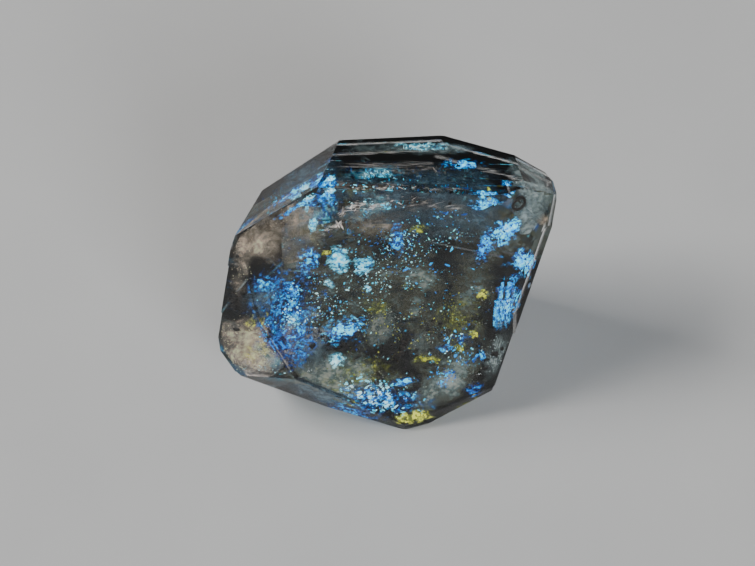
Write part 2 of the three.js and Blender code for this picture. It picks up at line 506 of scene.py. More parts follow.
def lenses(centres, facing, radii, stretch, lean, thickness, tints, rng):
    """Corner and face arrays for closed lenses: centre + size * (cos, sin) on two axes."""
    count = len(centres)
    facing = facing / np.linalg.norm(facing, axis=1)[:, None]
    first = np.cross(facing, BACK + 1e-3)
    first /= np.linalg.norm(first, axis=1)[:, None]
    second = np.cross(facing, first)
    turn = np.cos(lean)[:, None] * first + np.sin(lean)[:, None] * second
    side = np.cross(facing, turn)
    angle = (np.arange(RIM) + rng.uniform(-0.3, 0.3, (count, RIM))) * (2 * np.pi / RIM)
    size = radii[:, None] * rng.uniform(0.5, 1.2, (count, RIM))
    along = (size * np.cos(angle) * stretch[:, None])[..., None] * turn[:, None]
    aside = (size * np.sin(angle) / stretch[:, None])[..., None] * side[:, None]
    rim = centres[:, None] + along + aside
    bulge = facing * (radii * thickness)[:, None]
    points = np.concatenate([rim, (centres + bulge)[:, None], (centres - bulge)[:, None]], axis=1)
    here = np.arange(RIM)
    after = (here + 1) % RIM
    upper = np.stack([here, after, np.full(RIM, RIM)], axis=1)
    lower = np.stack([after, here, np.full(RIM, RIM + 1)], axis=1)
    pattern = np.concatenate([upper, lower])
    faces = (pattern[None] + np.arange(count)[:, None, None] * (RIM + 2)).reshape(-1, 3)
    return points.reshape(-1, 3), faces, {"tint": np.repeat(tints, RIM + 2)}


def flecks_of(row, rng, thickness=(0.12, 0.3)):
    """Flecks of one patch, most of them small, the bright ones near its middle."""
    across, down, radius, x = spots(row, rng, row["count"] * 3)
    place = seat(across, down, depth_at(row, x, rng, rng.uniform(-1, 1)))
    good = is_inside(place, CLEAR_OF_FACES)
    place, radius = place[good], radius[good]
    count = len(place)
    small, large = row["size"]
    size = small * (large / small) ** (rng.uniform(0, 1, count) ** 2.6)
    facing = BACK + 0.7 * any_turn(rng, 1) + 0.5 * any_turn(rng, count)
    lean = -row["turn"] + rng.normal(0, 0.35 if row["stretch"] > 1.3 else 3.0, count)
    shape = np.full(count, math.sqrt(row["stretch"])) * rng.uniform(0.8, 1.3, count)
    bright = np.clip(1.15 - radius + rng.normal(0, 0.28, count), 0, 1)
    tints = row["tint"][0] + (row["tint"][1] - row["tint"][0]) * bright
    return lenses(place, facing, size * PIXEL / 2, shape, lean, rng.uniform(*thickness, count), tints, rng)


# %% [markdown]
# ## Films
#
# Behind the flecks of the larger patches lies a film of oil: a wavy sheet that is solid in its
# middle and frays into droplets. Cutting that outline into the mesh would take far more faces.
# So the sheet is a plain grid seated inside the stone, with a weight that falls from the middle to
# the rim, and the material cuts it by that weight and by noise.

# %% Film shapes
FILM_GRID = 26
FILM_WAVE = 0.02
FILM_WIDER = (1.25, 1.35)
FILM_DEPTH = 0.6


def sheet(at, half, turn, depth, rng):
    """Grid of seats with depth + lean + two sines; its weight 1 - x^2 - y^2 ends at the rim."""
    step = np.linspace(-1, 1, FILM_GRID)
    x, y = (values.ravel() for values in np.meshgrid(step, step))
    across = at[0] + half[0] * x * math.cos(turn) - half[1] * y * math.sin(turn)
    down = at[1] + half[0] * x * math.sin(turn) + half[1] * y * math.cos(turn)
    lean = rng.uniform(-2, 2, 2)
    wave = np.sin(4 * x + rng.uniform(0, 6)) + np.sin(5 * y + rng.uniform(0, 6))
    bend = lean[0] * x + lean[1] * y + wave
    place = pulled_in(seat(across, down, np.clip(depth + FILM_WAVE * bend, 0.03, 0.97)))
    weight = np.clip(1 - x**2 - y**2, 0, 1)
    first = np.arange((FILM_GRID - 1) * FILM_GRID).reshape(FILM_GRID - 1, FILM_GRID)[:, :-1].ravel()
    faces = np.stack([first, first + FILM_GRID, first + FILM_GRID + 1, first + 1], axis=1)
    faces = faces[weight[faces].max(axis=1) > 0]
    used, faces = np.unique(faces, return_inverse=True)
    return place[used], faces.reshape(-1, 4), {"weight": weight[used]}


def film_of(row, rng):
    """Film of one patch, a little wider than its flecks; its shade is the mean tint - 1/2."""
    near, far = row["depth"]
    half = (row["half"][0] * FILM_WIDER[0], row["half"][1] * FILM_WIDER[1])
    part = sheet(row["at"], half, row["turn"], near + (far - near) * FILM_DEPTH, rng)
    part[2]["cover"] = np.full(len(part[0]), row["film"])
    part[2]["shade"] = np.full(len(part[0]), sum(row["tint"]) / 2 - 0.5)
    return part


# %% [markdown]
# ### How oil looks
#
# The oil glows under the lamp that the photograph was taken with, so its colour goes into both the
# base and the emission: a painted glow that no lamp here gives it. A film is cut by soft noise,
# and fine cells give it the rims of droplets.
# The veils and the cracks further down are films as well, with other lumps and softness, so the
# cut is a node group that takes those as values. It puts out an alpha and a glow from 0 to 1.

# %% Film cut
CUT_VALUES = (
    "Weight", "Cover", "Shade", "Lumps", "Detail", "Grain",
    "Softness", "Contrast", "Cells", "Rims", "Open",
)
FINE_SCALE = 4200
SHAKE_SCALE = 4000
SHAKE = 3e-4
RIM_WIDTH = 0.16

takes = [("Squash", "NodeSocketVector")] + [(name, "NodeSocketFloat") for name in CUT_VALUES]
film_cut = Group("oil_film", takes, ["Alpha", "Glow"])
given = film_cut.into.outputs
squash = film_cut.tree.nodes.new("ShaderNodeVectorMath")
squash.operation = "MULTIPLY"
film_cut.link(film_cut.place, squash.inputs[0])
film_cut.link(given["Squash"], squash.inputs[1])
place = squash.outputs["Vector"]
coarse = film_cut.noise(1000, 5, place)
film_cut.link(given["Lumps"], coarse.node.inputs["Scale"])
film_cut.link(given["Detail"], coarse.node.inputs["Detail"])
fine = film_cut.spread(film_cut.noise(FINE_SCALE, 5, place), 0.36, 0.64, -0.5, 0.5)
fine = film_cut.math("MULTIPLY", fine, given["Grain"])
lump = film_cut.math("MULTIPLY_ADD", coarse, 2.2, film_cut.math("MULTIPLY_ADD", fine, 0.5, -1.5))
lump = film_cut.math("MULTIPLY_ADD", given["Weight"], 0.9, lump)

# Cells whose places are shaken by noise, so that their rims are not straight.
warp = film_cut.tree.nodes.new("ShaderNodeVectorMath")
warp.operation = "MULTIPLY_ADD"
shake = film_cut.tree.nodes.new("ShaderNodeTexNoise")
shake.inputs["Scale"].default_value = SHAKE_SCALE
film_cut.link(place, shake.inputs["Vector"])
film_cut.link(shake.outputs["Color"], warp.inputs[0])
warp.inputs[1].default_value = (SHAKE, SHAKE, SHAKE)
film_cut.link(place, warp.inputs[2])
cells = film_cut.tree.nodes.new("ShaderNodeTexVoronoi")
cells.feature = "DISTANCE_TO_EDGE"
film_cut.link(given["Cells"], cells.inputs["Scale"])
film_cut.link(warp.outputs["Vector"], cells.inputs["Vector"])
rims = film_cut.spread(cells.outputs["Distance"], 0.0, RIM_WIDTH, 1.0, 0.0)

# Glow = contrast * lump + 0.8 * fine + rims + shade, and alpha = (lump + 0.1) / softness * cover.
glow = film_cut.math("MULTIPLY_ADD", lump, given["Contrast"], 0.1)
glow = film_cut.math("MULTIPLY_ADD", fine, 0.8, glow)
glow = film_cut.math("MULTIPLY_ADD", rims, given["Rims"], glow)
glow = film_cut.math("MULTIPLY_ADD", given["Shade"], 0.7, glow, clamp=True)
film_cut.link(glow, film_cut.out.inputs["Glow"])
solid = film_cut.math("DIVIDE", film_cut.math("ADD", lump, 0.1), given["Softness"], clamp=True)
middles_gone = film_cut.math("MULTIPLY", film_cut.math("SUBTRACT", 1.0, rims), given["Open"])
solid = film_cut.math("MULTIPLY", solid, film_cut.math("SUBTRACT", 1.0, middles_gone))
film_cut.link(film_cut.math("MULTIPLY", solid, given["Cover"]), film_cut.out.inputs["Alpha"])
print("film cut:", len(film_cut.tree.nodes), "nodes")

# %% [markdown]
# ### One material for oil, veils and cracks
#
# All inclusions are smooth films against quartz, whose index is near that of oil, so they hardly
# shine. A glass shader for each would be slow inside a glass stone. A soft Principled shader with a
# low specular level looks the same. Its ramp reads a fleck's tint, or the glow of a cut film.

# %% Oil material
OIL_ROUGHNESS = 0.4
OIL_SHINE = 0.08


def oil_material(name, stops, painted_glow, film=None):
    """Oil: its colour read from each fleck's tint, or from the cut of a film, and shown again as painted
    glow.
    """
    material, tree, shader, _ = new_material(name)
    colours = ramp(tree, stops)
    if film:
        cutter = use(tree, film_cut, film)
        for value in ("weight", "cover", "shade"):
            tree.links.new(attribute(tree, value), cutter.inputs[value.capitalize()])
        tree.links.new(cutter.outputs["Alpha"], shader.inputs["Alpha"])
        tree.links.new(cutter.outputs["Glow"], colours.inputs["Fac"])
    else:
        tree.links.new(attribute(tree, "tint"), colours.inputs["Fac"])
    tree.links.new(colours.outputs["Color"], shader.inputs["Base Color"])
    # The colour goes into the emission as well: painted glow, as strong as painted_glow.
    tree.links.new(colours.outputs["Color"], shader.inputs["Emission Color"])
    shader.inputs["Emission Strength"].default_value = painted_glow
    shader.inputs["Roughness"].default_value = OIL_ROUGHNESS
    shader.inputs["Specular IOR Level"].default_value = OIL_SHINE
    return material


# %% [markdown]
# ### Blue oil
#
# Most of the oil is blue: a bright patch at the upper right, two below it along the right strip,
# a swarm at the left, streaks in the top band and sparks along the lower edge. A single colour
# would look like paint, so the ramp runs from navy where the film is thin to cyan where it is thick.

# %% Blue patches
BLUE = {
    "right patch": patch((499, 236), (22, 10), -22, (0.2, 0.3), 130, (1.2, 5), tint=(0.3, 1), film=1),
    "right patch tail": patch((484, 250), (7, 14), 20, (0.2, 0.3), 60, (1.2, 4), tint=(0.1, 0.8), film=0.9),
    "right patch end": patch((514, 226), (9, 6), -20, (0.18, 0.24), 40, (1.2, 4), tint=(0.6, 1), film=1),
    "strip upper": patch((525, 264), (13, 13), -50, (0.3, 0.5), 90, (1.2, 5), tint=(0.3, 1), film=1),
    "strip lower": patch((508, 309), (23, 8), -62, (0.3, 0.5), 90, (1.2, 5), 2.2, (0.2, 0.95), film=1),
    "strip middle": patch((512, 284), (14, 5), -62, (0.3, 0.5), 50, (1.2, 4), 2.2, (0.1, 0.8), film=0.8),
    "top band right": patch((462, 163), (20, 5), 0, (0.04, 0.12), 50, (1.2, 4.5), 1.8, (0.3, 0.9), film=0.9),
    "top band edge": patch((487, 193), (17, 3), 5, (0.03, 0.08), 40, (1.2, 4), 1.8, (0.4, 1), film=0.9),
    "top band corner": patch((505, 182), (7, 3), 0, (0.03, 0.08), 20, (1.2, 4), 1.6, (0.3, 1), film=0.9),
    "left upper ring": patch((308, 262), (12, 13), 30, (0.15, 0.3), 50, (1.2, 5), tint=(0.2, 0.8), film=0.9),
    "low right crumbs": patch((455, 352), (34, 26), -30, (0.1, 0.4), 110, (1, 4.5), 1.6, (0.1, 0.9)),
    "crumb row": patch((440, 379), (18, 12), 20, (0.1, 0.25), 60, (1.5, 5), 1.3, (0.2, 0.8)),
    "low right blue": patch((445, 350), (9, 4), -10, (0.2, 0.3), 20, (1, 4), 1.2, (0.1, 0.6), film=0.8),
    "low right teal": patch((462, 341), (12, 5), 10, (0.25, 0.4), 20, (1, 3), 1.2, (0, 0.4), film=0.7),
    "low right drop": patch((483, 357), (3, 5), 0, (0.1, 0.2), 10, (1, 4), 1.0, (0.3, 0.9), film=0.9),
    "middle patch": patch((345, 331), (22, 11), -20, (0.2, 0.35), 110, (1.2, 5), tint=(0.35, 1), film=1),
    "swarm": patch((292, 316), (40, 50), 20, (0.1, 0.6), 300, (0.9, 3.8), tint=(0.1, 0.9)),
    "swarm left": patch((268, 290), (15, 9), 40, (0.2, 0.35), 60, (1, 4), tint=(0.1, 0.7), film=0.85),
    "swarm arc": patch((292, 291), (13, 5), 50, (0.2, 0.3), 40, (1, 4), 1.3, (0.1, 0.8), film=0.8),
    "swarm centre": patch((296, 316), (15, 9), -10, (0.25, 0.4), 50, (1, 4), 1.2, (0, 0.7), film=0.6),
    "swarm side": patch((274, 330), (9, 13), -20, (0.3, 0.45), 40, (1, 3.6), 1.2, (0, 0.6), film=0.6),
    "swarm low": patch((301, 352), (8, 17), 12, (0.2, 0.4), 70, (1.2, 4), tint=(0.1, 0.8), film=0.8),
    "left streak": patch((292, 193), (23, 4), -33, (0.02, 0.05), 90, (1.2, 5), 2.4, (0.1, 0.8), film=1),
    "middle column": patch((398, 241), (6, 15), 0, (0.2, 0.3), 40, (1, 3.5), 1.2, (0.1, 0.6), film=0.8),
    "apex spark": patch((328, 182), (11, 6), -30, (0.04, 0.1), 40, (1.2, 4), 1.8, (0.1, 0.8), film=1),
    "low right dark": patch((475, 390), (10, 6), -20, (0.3, 0.4), 30, (1, 4), tint=(0, 0.3), film=0.8),
    "bottom haze": patch((386, 400), (46, 13), 10, (0.2, 0.5), 190, (1, 4), 1.4, (0, 0.7), film=0.6),
    "bottom strip": patch((350, 412), (34, 5), 20, (0.3, 0.6), 60, (1, 4), 2.0, (0.1, 0.6), film=0.8),
    "low middle": patch((405, 383), (14, 4), -12, (0.2, 0.3), 30, (1, 4), 1.6, (0.1, 0.9), film=0.9),
    "top band streaks": patch((395, 172), (70, 12), 2, (0.2, 0.6), 170, (1, 4), 3.0, (0.1, 0.6)),
    "middle sparks": patch((430, 245), (50, 34), -40, (0.05, 0.5), 150, (1.2, 5), 2.0, (0.3, 1)),
    "everywhere": patch((390, 290), (125, 95), 0, (0.05, 0.95), 420, (0.8, 3), 1.4, (0.1, 0.9)),
    # The three mist rows are deep blue films and in part painted shade: they also darken where the pale card
    # shows through the front facets beside the swarm.
    "swarm mist": patch((284, 303), (32, 32), 20, (0.3, 0.45), 60, (1, 3), 1.2, (-0.3, 0.5), film=0.75),
    "mist low": patch((297, 340), (24, 18), 24, (0.06, 0.12), 60, (1, 3.6), 1.2, (-0.3, 0.6), film=0.9),
    "mist side": patch((283, 352), (9, 20), -30, (0.06, 0.12), 30, (1, 3), 1.2, (-0.5, 0.4), film=0.9),
}
BLUE_STOPS = [
    (0, (0, 0.008, 0.06)), (0.3, (0, 0.05, 0.28)), (0.55, (0, 0.2, 0.68)),
    (0.78, (0, 0.55, 1)), (1, (0.25, 1, 1)),
]
print(len(BLUE), "patches of blue oil")

# %% [markdown]
# ### Pale oil
#
# The thickest oil glows almost white: the twin patches left of the middle, the cores of the blue
# patches and most of the sparks. It could be the bright end of the blue ramp, but it is less blue
# throughout, so it has rows and a ramp of its own.

# %% Pale patches
PALE = {
    "twin left": patch((339, 261), (11, 11), 0, (0.15, 0.25), 40, (1.2, 5), tint=(0.2, 0.9), film=1),
    "twin right": patch((364, 266), (11, 8), -20, (0.15, 0.25), 34, (1.2, 5), tint=(0.2, 0.9), film=1),
    "small upper": patch((313, 226), (4, 8), 10, (0.15, 0.25), 20, (1.2, 4), tint=(0.3, 0.9), film=0.9),
    "right patch core": patch((508, 229), (10, 5), -20, (0.18, 0.22), 24, (1, 4), tint=(0.4, 1)),
    "middle patch core": patch((350, 331), (12, 6), -20, (0.22, 0.3), 26, (1, 4), tint=(0.4, 1)),
    "strip upper core": patch((527, 262), (8, 6), -50, (0.3, 0.4), 20, (1, 4), tint=(0.4, 1)),
    "strip lower core": patch((508, 306), (14, 4), -62, (0.3, 0.4), 24, (1, 4), 2.0, (0.4, 1)),
    "white knot": patch((337, 362), (8, 7), 0, (0.2, 0.3), 26, (1, 5), tint=(0.6, 1), film=0.8),
    "bottom sparks": patch((378, 396), (54, 19), 12, (0.05, 0.4), 280, (0.9, 4.6), 1.5, (0.3, 1)),
    "middle sparks": patch((392, 266), (78, 40), -40, (0.05, 0.4), 130, (1, 4.6), 1.6, (0.2, 1)),
    "band streaks": patch((372, 184), (46, 12), -6, (0.03, 0.16), 50, (1, 4.5), 2.4, (0.1, 1)),
    "swarm sparks": patch((300, 316), (48, 52), 20, (0.05, 0.4), 170, (0.8, 3.8), 1.2, (0, 1)),
    "swarm dots": patch((292, 322), (9, 6), 20, (0.1, 0.2), 20, (1.2, 4.5), 1.2, (0.4, 1), film=0.4),
    "lone drop": patch((330, 285), (6, 3.5), 20, (0.1, 0.2), 16, (1.2, 4.5), 1.2, (0.3, 1), film=0.6),
    "lone drop right": patch((368, 290), (4, 4), -40, (0.1, 0.2), 12, (1.2, 4), 1.2, (0.3, 1), film=0.6),
    "low right sparks": patch((452, 352), (40, 34), -30, (0.05, 0.3), 110, (0.8, 4), 1.5, (0.2, 1)),
    "left low sparks": patch((262, 372), (26, 6), 14, (0.1, 0.3), 30, (0.8, 2.6), 1.2, (0.4, 1)),
    "everywhere": patch((375, 300), (130, 95), 0, (0.05, 0.8), 360, (0.7, 3.6), tint=(0.2, 1)),
    "top band": patch((430, 176), (60, 12), 0, (0.2, 0.6), 80, (0.8, 2.6), 2.6, (0.2, 1)),
    # The top edge row is a painted highlight: a pale glowing streak just inside the top edge, where it
    # catches the light.
    "top edge": patch((420, 145), (27, 4), -2, (0.1, 0.3), 16, (1, 3), 2.5, (0.5, 1), film=0.75),
    "band left": patch((372, 172), (28, 6), -6, (0.1, 0.3), 60, (1, 3.4), 2.5, (0.1, 0.9), film=0.3),
    "streak core": patch((303, 187), (9, 3.5), -38, (0.01, 0.03), 24, (1.2, 4.5), 2.4, (0.4, 1), film=0.9),
    "apex core": patch((330, 179), (7, 3), -28, (0.03, 0.06), 16, (1.2, 4), 2.0, (0.4, 1), film=0.9),
}
PALE_STOPS = [(0, (0, 0.22, 0.6)), (0.5, (0.04, 0.62, 0.85)), (1, (0.65, 1, 1))]
print(len(PALE), "patches of pale oil")

# %% [markdown]
# ### Yellow oil
#
# Older oil glows yellow: lemon spots at the right, a bright toe at the lower left and at the bottom
# tip, and a moss of olive crumbs between them. The moss is a thin film under many small flecks,
# because a film alone looks like stain and flecks alone look like sand.

# %% Yellow patches
YELLOW = {
    "lemon spot": patch((484, 295), (6, 5), 0, (0.2, 0.25), 20, (1.2, 4), tint=(0.5, 1), film=1),
    "lemon spot low": patch((474, 335), (5, 4), 0, (0.2, 0.25), 14, (1, 3), tint=(0.5, 1), film=0.9),
    "low streak": patch((424, 361), (12, 4), -14, (0.2, 0.3), 34, (1, 3.5), 1.4, (0, 0.8), film=0.55),
    "low streak end": patch((437, 362), (4, 4), 0, (0.2, 0.3), 12, (1, 3), 1.2, (0.1, 0.8), film=0.7),
    "bottom tip": patch((415, 418), (20, 6), -8, (0.2, 0.5), 60, (1, 4), 1.6, (0.3, 1), film=1),
    "left upper": patch((250, 326), (6, 9), 0, (0.3, 0.5), 20, (1, 4), tint=(0.3, 0.9), film=0.9),
    "left lower": patch((264, 348), (4, 13), -20, (0.3, 0.5), 20, (1, 3), tint=(0.3, 0.9), film=0.9),
    "by the twin": patch((327, 254), (5, 3), 0, (0.15, 0.2), 10, (1, 3), tint=(0.4, 0.9), film=0.9),
    "olive": patch((418, 230), (9, 4), 0, (0.2, 0.3), 10, (1, 4), 1.2, (0, 0.15), film=0.9),
    "right crumb": patch((489, 201), (3, 3), 0, (0.15, 0.2), 6, (1, 3), tint=(0.6, 1), film=0.9),
    "moss right": patch((458, 318), (24, 20), 0, (0.2, 0.5), 90, (0.8, 2.6), tint=(0, 0.45), film=0.35),
    "moss middle": patch((376, 308), (14, 9), 0, (0.2, 0.4), 40, (1, 3), tint=(0, 0.2), film=0.5),
    "moss low": patch((352, 374), (44, 15), 0, (0.2, 0.5), 120, (0.8, 2.8), tint=(0, 0.5), film=0.35),
    "low knot": patch((461, 350), (6, 5), 0, (0.2, 0.3), 24, (1, 3), tint=(0, 0.8), film=0.5),
    # This row is a painted highlight: a thin glowing yellow line just inside the lower right edge, where
    # that edge catches the light.
    "painted edge highlight": patch((456, 412), (44, 1.8), -29, (0.3, 0.6), 40, (0.8, 2), 3.0, (0.1, 0.6), film=0.7),
    "toe": patch((256, 358), (14, 12), 0, (0.1, 0.3), 40, (0.8, 2.6), tint=(0.2, 0.9), film=0.35),
    "bottom streak": patch((340, 399), (22, 2), 22, (0.3, 0.5), 30, (1, 3), 2.0, (0.2, 0.8), film=0.7),
    "everywhere": patch((410, 335), (90, 62), 0, (0.1, 0.7), 300, (0.7, 2.6), tint=(0.1, 0.9)),
}
YELLOW_STOPS = [
    (0, (0.05, 0.065, 0.02)), (0.5, (0.2, 0.23, 0.03)), (0.8, (0.55, 0.58, 0.05)), (1, (1, 1, 0.12)),
]
print(len(YELLOW), "patches of yellow oil")

# %% [markdown]
# ### Bitumen
#
# Bitumen is what oil leaves when it dries: black specks and lumps that don't glow. The large lumps
# could be drawn by noise too, but a few of them stand out in the photograph, such as the string at
# the lower right. So each has a place and a width of its own, just under the front faces.

# %% Bitumen patches
BLACK = {
    "left dark": patch((238, 302), (9, 14), 0, (0.1, 0.4), 200, (1.5, 7), 1.4, (0, 1), film=0.8),
    "swarm shadow": patch((315, 341), (24, 14), -10, (0.05, 0.3), 170, (1, 5), 1.2, (0, 1)),
    "low right": patch((470, 388), (10, 6), -20, (0.2, 0.4), 34, (1, 4), 1.2, (0, 1)),
    "left crack": patch((262, 346), (2, 13), -25, (0.2, 0.4), 26, (1, 3), 2.0, (0, 1)),
    "middle crack": patch((403, 348), (5, 21), 28, (0.1, 0.3), 110, (1, 6), 2.2, (0, 1), film=1),
    "middle band": patch((430, 330), (32, 9), -12, (0.2, 0.5), 80, (1, 4), 1.6, (0, 1)),
    "under the film": patch((336, 345), (12, 5), 0, (0.2, 0.4), 40, (1, 4), 1.2, (0, 1)),
    "everywhere": patch((390, 290), (125, 95), 0, (0.1, 0.95), 700, (0.7, 2.2), 1.2, (0, 1)),
}
BLACK_STOPS = [(0, (0.01, 0.008, 0.007)), (1, (0.05, 0.035, 0.025))]
LUMP_DEPTH = 0.06
LUMPS = {
    "lower right string": [(487, 361, 8), (495, 355, 10), (503, 350, 6), (487, 370, 7), (481, 377, 5)],
    "left edge": [(237, 257, 6), (236, 331, 7)],
    "under the swarm": [(322, 338, 5), (313, 347, 9), (328, 346, 6)],
    "middle": [(440, 325, 7)],
    "left crack": [(270, 338, 4)],
    "middle band": [(428, 331, 6)],
    "top band": [(451, 192, 5)],
    "left dark": [(256, 309, 6)],
    "by the twin": [(354, 271, 4)],
    "middle patch": [(345, 345, 5)],
}


def lumps_of(groups, rng):
    """Rounded lenses at picture positions, each as wide in pixels as its third value."""
    rows = np.array([row for group in groups.values() for row in group], float)
    across, down, size = rows.T
    place = seat(across, down, np.full(len(rows), LUMP_DEPTH))
    facing = BACK + 0.4 * any_turn(rng, len(rows))
    turn, plain = rng.uniform(0, 6, len(rows)), np.full(len(rows), 1.1)
    return lenses(place, facing, size * PIXEL / 2, plain, turn, plain * 0.6, plain * 0, rng)


print(len(BLACK), "patches of bitumen,", sum(map(len, LUMPS.values())), "lumps")

# %% [markdown]
# ### Making the oil and the bitumen
#
# The four kinds differ in their rows, colours, strength of painted glow and seed, and bitumen has
# its lumps as well, so one loop makes them all. Each gives one mesh of flecks and one of films. A
# seed for each kind, in place of one for all, means that a change to one leaves the others as they are.

# %% Oil and bitumen
OIL_CUT = {
    "Squash": (1, 1, 1), "Lumps": 1500, "Detail": 5, "Grain": 1, "Softness": 0.6, "Contrast": 0.6,
    "Cells": 3600, "Rims": 0.16, "Open": 0.12,
}
for kind, patches, stops, strength, seed in (
    ("blue_oil", BLUE, BLUE_STOPS, 1.2, 11),
    ("pale_oil", PALE, PALE_STOPS, 1.2, 12),
    ("yellow_oil", YELLOW, YELLOW_STOPS, 0.9, 13),
    ("bitumen", BLACK, BLACK_STOPS, 0.0, 14),
):
    rng = np.random.default_rng(seed)
    loose = [lumps_of(LUMPS, rng)] if kind == "bitumen" else []
    flecks = joined([flecks_of(row, rng) for row in patches.values()] + loose)
    mesh_piece(f"{kind}_flecks", kind, flecks, oil_material(f"{kind}_fleck", stops, strength))
    films = joined([film_of(row, rng) for row in patches.values() if row["film"]])
    paint = oil_material(f"{kind}_film", stops, strength, OIL_CUT)
    mesh_piece(f"{kind}_films", kind, films, paint, smooth=True)

# %% [markdown]
# ## Veils
#
# A veil is a healed crack full of bubbles too small to see one by one. It is a film like those of
# the oil, but with soft edges and large clouds, and it runs from brown to pale grey. A fog in the
# stone's volume would be softer still, but the crystal has sheets of it, with clear quartz between.
# A few thousand eight-sided grains stand for the bubbles that are large enough to see.

# %% Veils
COARSE = (0.7, 1.6)
BROAD = (0.7, 1.8)
FINE = (0.6, 1.6)
MIXED = (0.6, 1.8)
VEILS = {
    "warm": {
        "upper left": patch((279, 228), (44, 28), -28, (0.2, 0.3), 260, COARSE, tint=(0.1, 0.9), film=0.95),
        "upper left pale": patch((256, 250), (15, 15), -30, (0.1, 0.2), 60, COARSE, tint=(0.5, 1), film=0.6),
        "left low": patch((240, 346), (27, 32), 0, (0.1, 0.3), 200, BROAD, tint=(0.8, 1.3), film=1),
        "left toe": patch((264, 356), (26, 19), 30, (0.1, 0.25), 120, COARSE, tint=(0.8, 1.3), film=0.95),
        "left edge": patch((241, 266), (13, 30), 8, (0.03, 0.15), 100, COARSE, tint=(0.5, 1.1), film=1),
        "brown upper": patch((372, 222), (40, 18), 8, (0.2, 0.35), 160, BROAD, tint=(0, 0.3), film=0.85),
        "corner spot": patch((545, 219), (5, 5), -40, (0.1, 0.2), 20, COARSE, tint=(0.5, 0.8), film=1),
    },
    "smoke": {
        "middle": patch((408, 300), (50, 58), 10, (0.35, 0.6), 400, MIXED, tint=(0.4, 0.9), film=0.9),
        "right low": patch((452, 350), (44, 36), -20, (0.3, 0.5), 400, MIXED, tint=(0.6, 1.1), film=0.9),
        "lower right": patch((447, 387), (40, 17), -28, (0.15, 0.3), 200, MIXED, tint=(0.7, 1.2), film=0.95),
        "swarm haze": patch((325, 300), (60, 50), 0, (0.5, 0.7), 300, FINE, tint=(0.4, 1), film=0.85),
        "low middle": patch((340, 374), (62, 22), 8, (0.25, 0.45), 400, FINE, tint=(0.8, 1.3), film=0.95),
        "right middle": patch((466, 292), (34, 38), 0, (0.5, 0.7), 160, FINE, tint=(0.4, 1), film=0.9),
        "crack left": patch((384, 326), (15, 24), 28, (0.36, 0.44), 80, MIXED, tint=(0.8, 1.4), film=0.8),
        "crack right": patch((424, 346), (13, 24), 28, (0.36, 0.44), 80, MIXED, tint=(0.8, 1.3), film=0.7),
    },
    # The dusk veils are dark sheets and in part painted shade: they darken places where the pale card would
    # show through the facets, such as beside the swarm.
    "dusk": {
        "swarm shade": patch((304, 346), (27, 24), 10, (0.1, 0.16), 60, FINE, tint=(0.5, 1), film=0.8),
        "swarm edge": patch((262, 303), (22, 27), 20, (0.1, 0.2), 60, FINE, tint=(0.5, 1), film=0.7),
        "upper right": patch((450, 220), (66, 24), 6, (0.3, 0.5), 200, FINE, tint=(0.3, 0.9), film=0.85),
        "top band": patch((415, 174), (90, 14), 2, (0.1, 0.3), 260, FINE, tint=(0.1, 0.7), film=0.95),
        "under the band": patch((405, 197), (84, 8), 0, (0.1, 0.3), 100, FINE, tint=(0.2, 0.7), film=0.9),
        "upper left facet": patch((298, 177), (44, 13), -34, (0.02, 0.1), 60, FINE, tint=(0, 0.3), film=1),
        "bottom strip": patch((310, 394), (64, 9), 17, (0.02, 0.15), 80, FINE, tint=(0.1, 0.5), film=1),
    },
    "frost": {
        "right corner": patch((538, 194), (20, 24), 0, (0.1, 0.4), 200, COARSE, tint=(0.3, 0.9), film=0.9),
        "corner top": patch((528, 167), (24, 6), 28, (0.1, 0.3), 80, COARSE, tint=(0.5, 1), film=0.9),
        "right edge low": patch((498, 350), (13, 30), 24, (0.15, 0.3), 120, COARSE, tint=(0.5, 1), film=1),
        "top edge": patch((400, 147), (70, 6), 0, (0.1, 0.4), 120, COARSE, tint=(0.2, 0.6), film=0.9),
    },
}
VEIL_STOPS = {
    "warm": [(0, (0.11, 0.06, 0.03)), (0.3, (0.2, 0.17, 0.12)), (0.55, (0.34, 0.29, 0.23)),
             (0.75, (0.55, 0.42, 0.32)), (1, (0.78, 0.78, 0.5))],
    "smoke": [(0, (0.03, 0.028, 0.026)), (0.25, (0.05, 0.09, 0.11)), (0.5, (0.13, 0.115, 0.06)),
              (0.75, (0.14, 0.22, 0.22)), (1, (0.4, 0.42, 0.36))],
    "dusk": [(0, (0.005, 0.012, 0.022)), (0.5, (0.025, 0.06, 0.09)), (1, (0.13, 0.21, 0.25))],
    "frost": [(0, (0.04, 0.06, 0.07)), (0.5, (0.17, 0.23, 0.23)), (1, (0.55, 0.62, 0.6))],
}
VEIL_CUT = {
    "Squash": (1, 1, 1), "Lumps": 560, "Detail": 3, "Grain": 0.3, "Softness": 0.9, "Contrast": 0.8,
    "Cells": 3000, "Rims": 0, "Open": 0,
}
# Grains and veils glow a little: painted light that stands in for the light they scatter, and lifts the
# smoky body.
GRAIN_PAINTED_GLOW = 0.4
VEIL_PAINTED_GLOW = 0.55
OCTAHEDRON = [[0, 2, 4], [2, 1, 4], [1, 3, 4], [3, 0, 4], [2, 0, 5], [1, 2, 5], [3, 1, 5], [0, 3, 5]]
DRIFT_PIXELS = 26.0


def grains(centres, radii, tints, rng):
    """Eight-sided grains: a point on each side of the middle along three turned axes."""
    count = len(centres)
    one = any_turn(rng, count)
    two = np.cross(one, any_turn(rng, count))
    two /= np.linalg.norm(two, axis=1)[:, None]
    three = np.cross(one, two)
    arms = np.stack([one, -one, two, -two, three, -three], axis=1) * radii[:, None, None]
    arms *= rng.uniform(0.6, 1.3, (count, 6, 1))
    faces = (np.array(OCTAHEDRON)[None] + np.arange(count)[:, None, None] * 6).reshape(-1, 3)
    return (centres[:, None] + arms).reshape(-1, 3), faces, {"tint": np.repeat(tints, 6)}


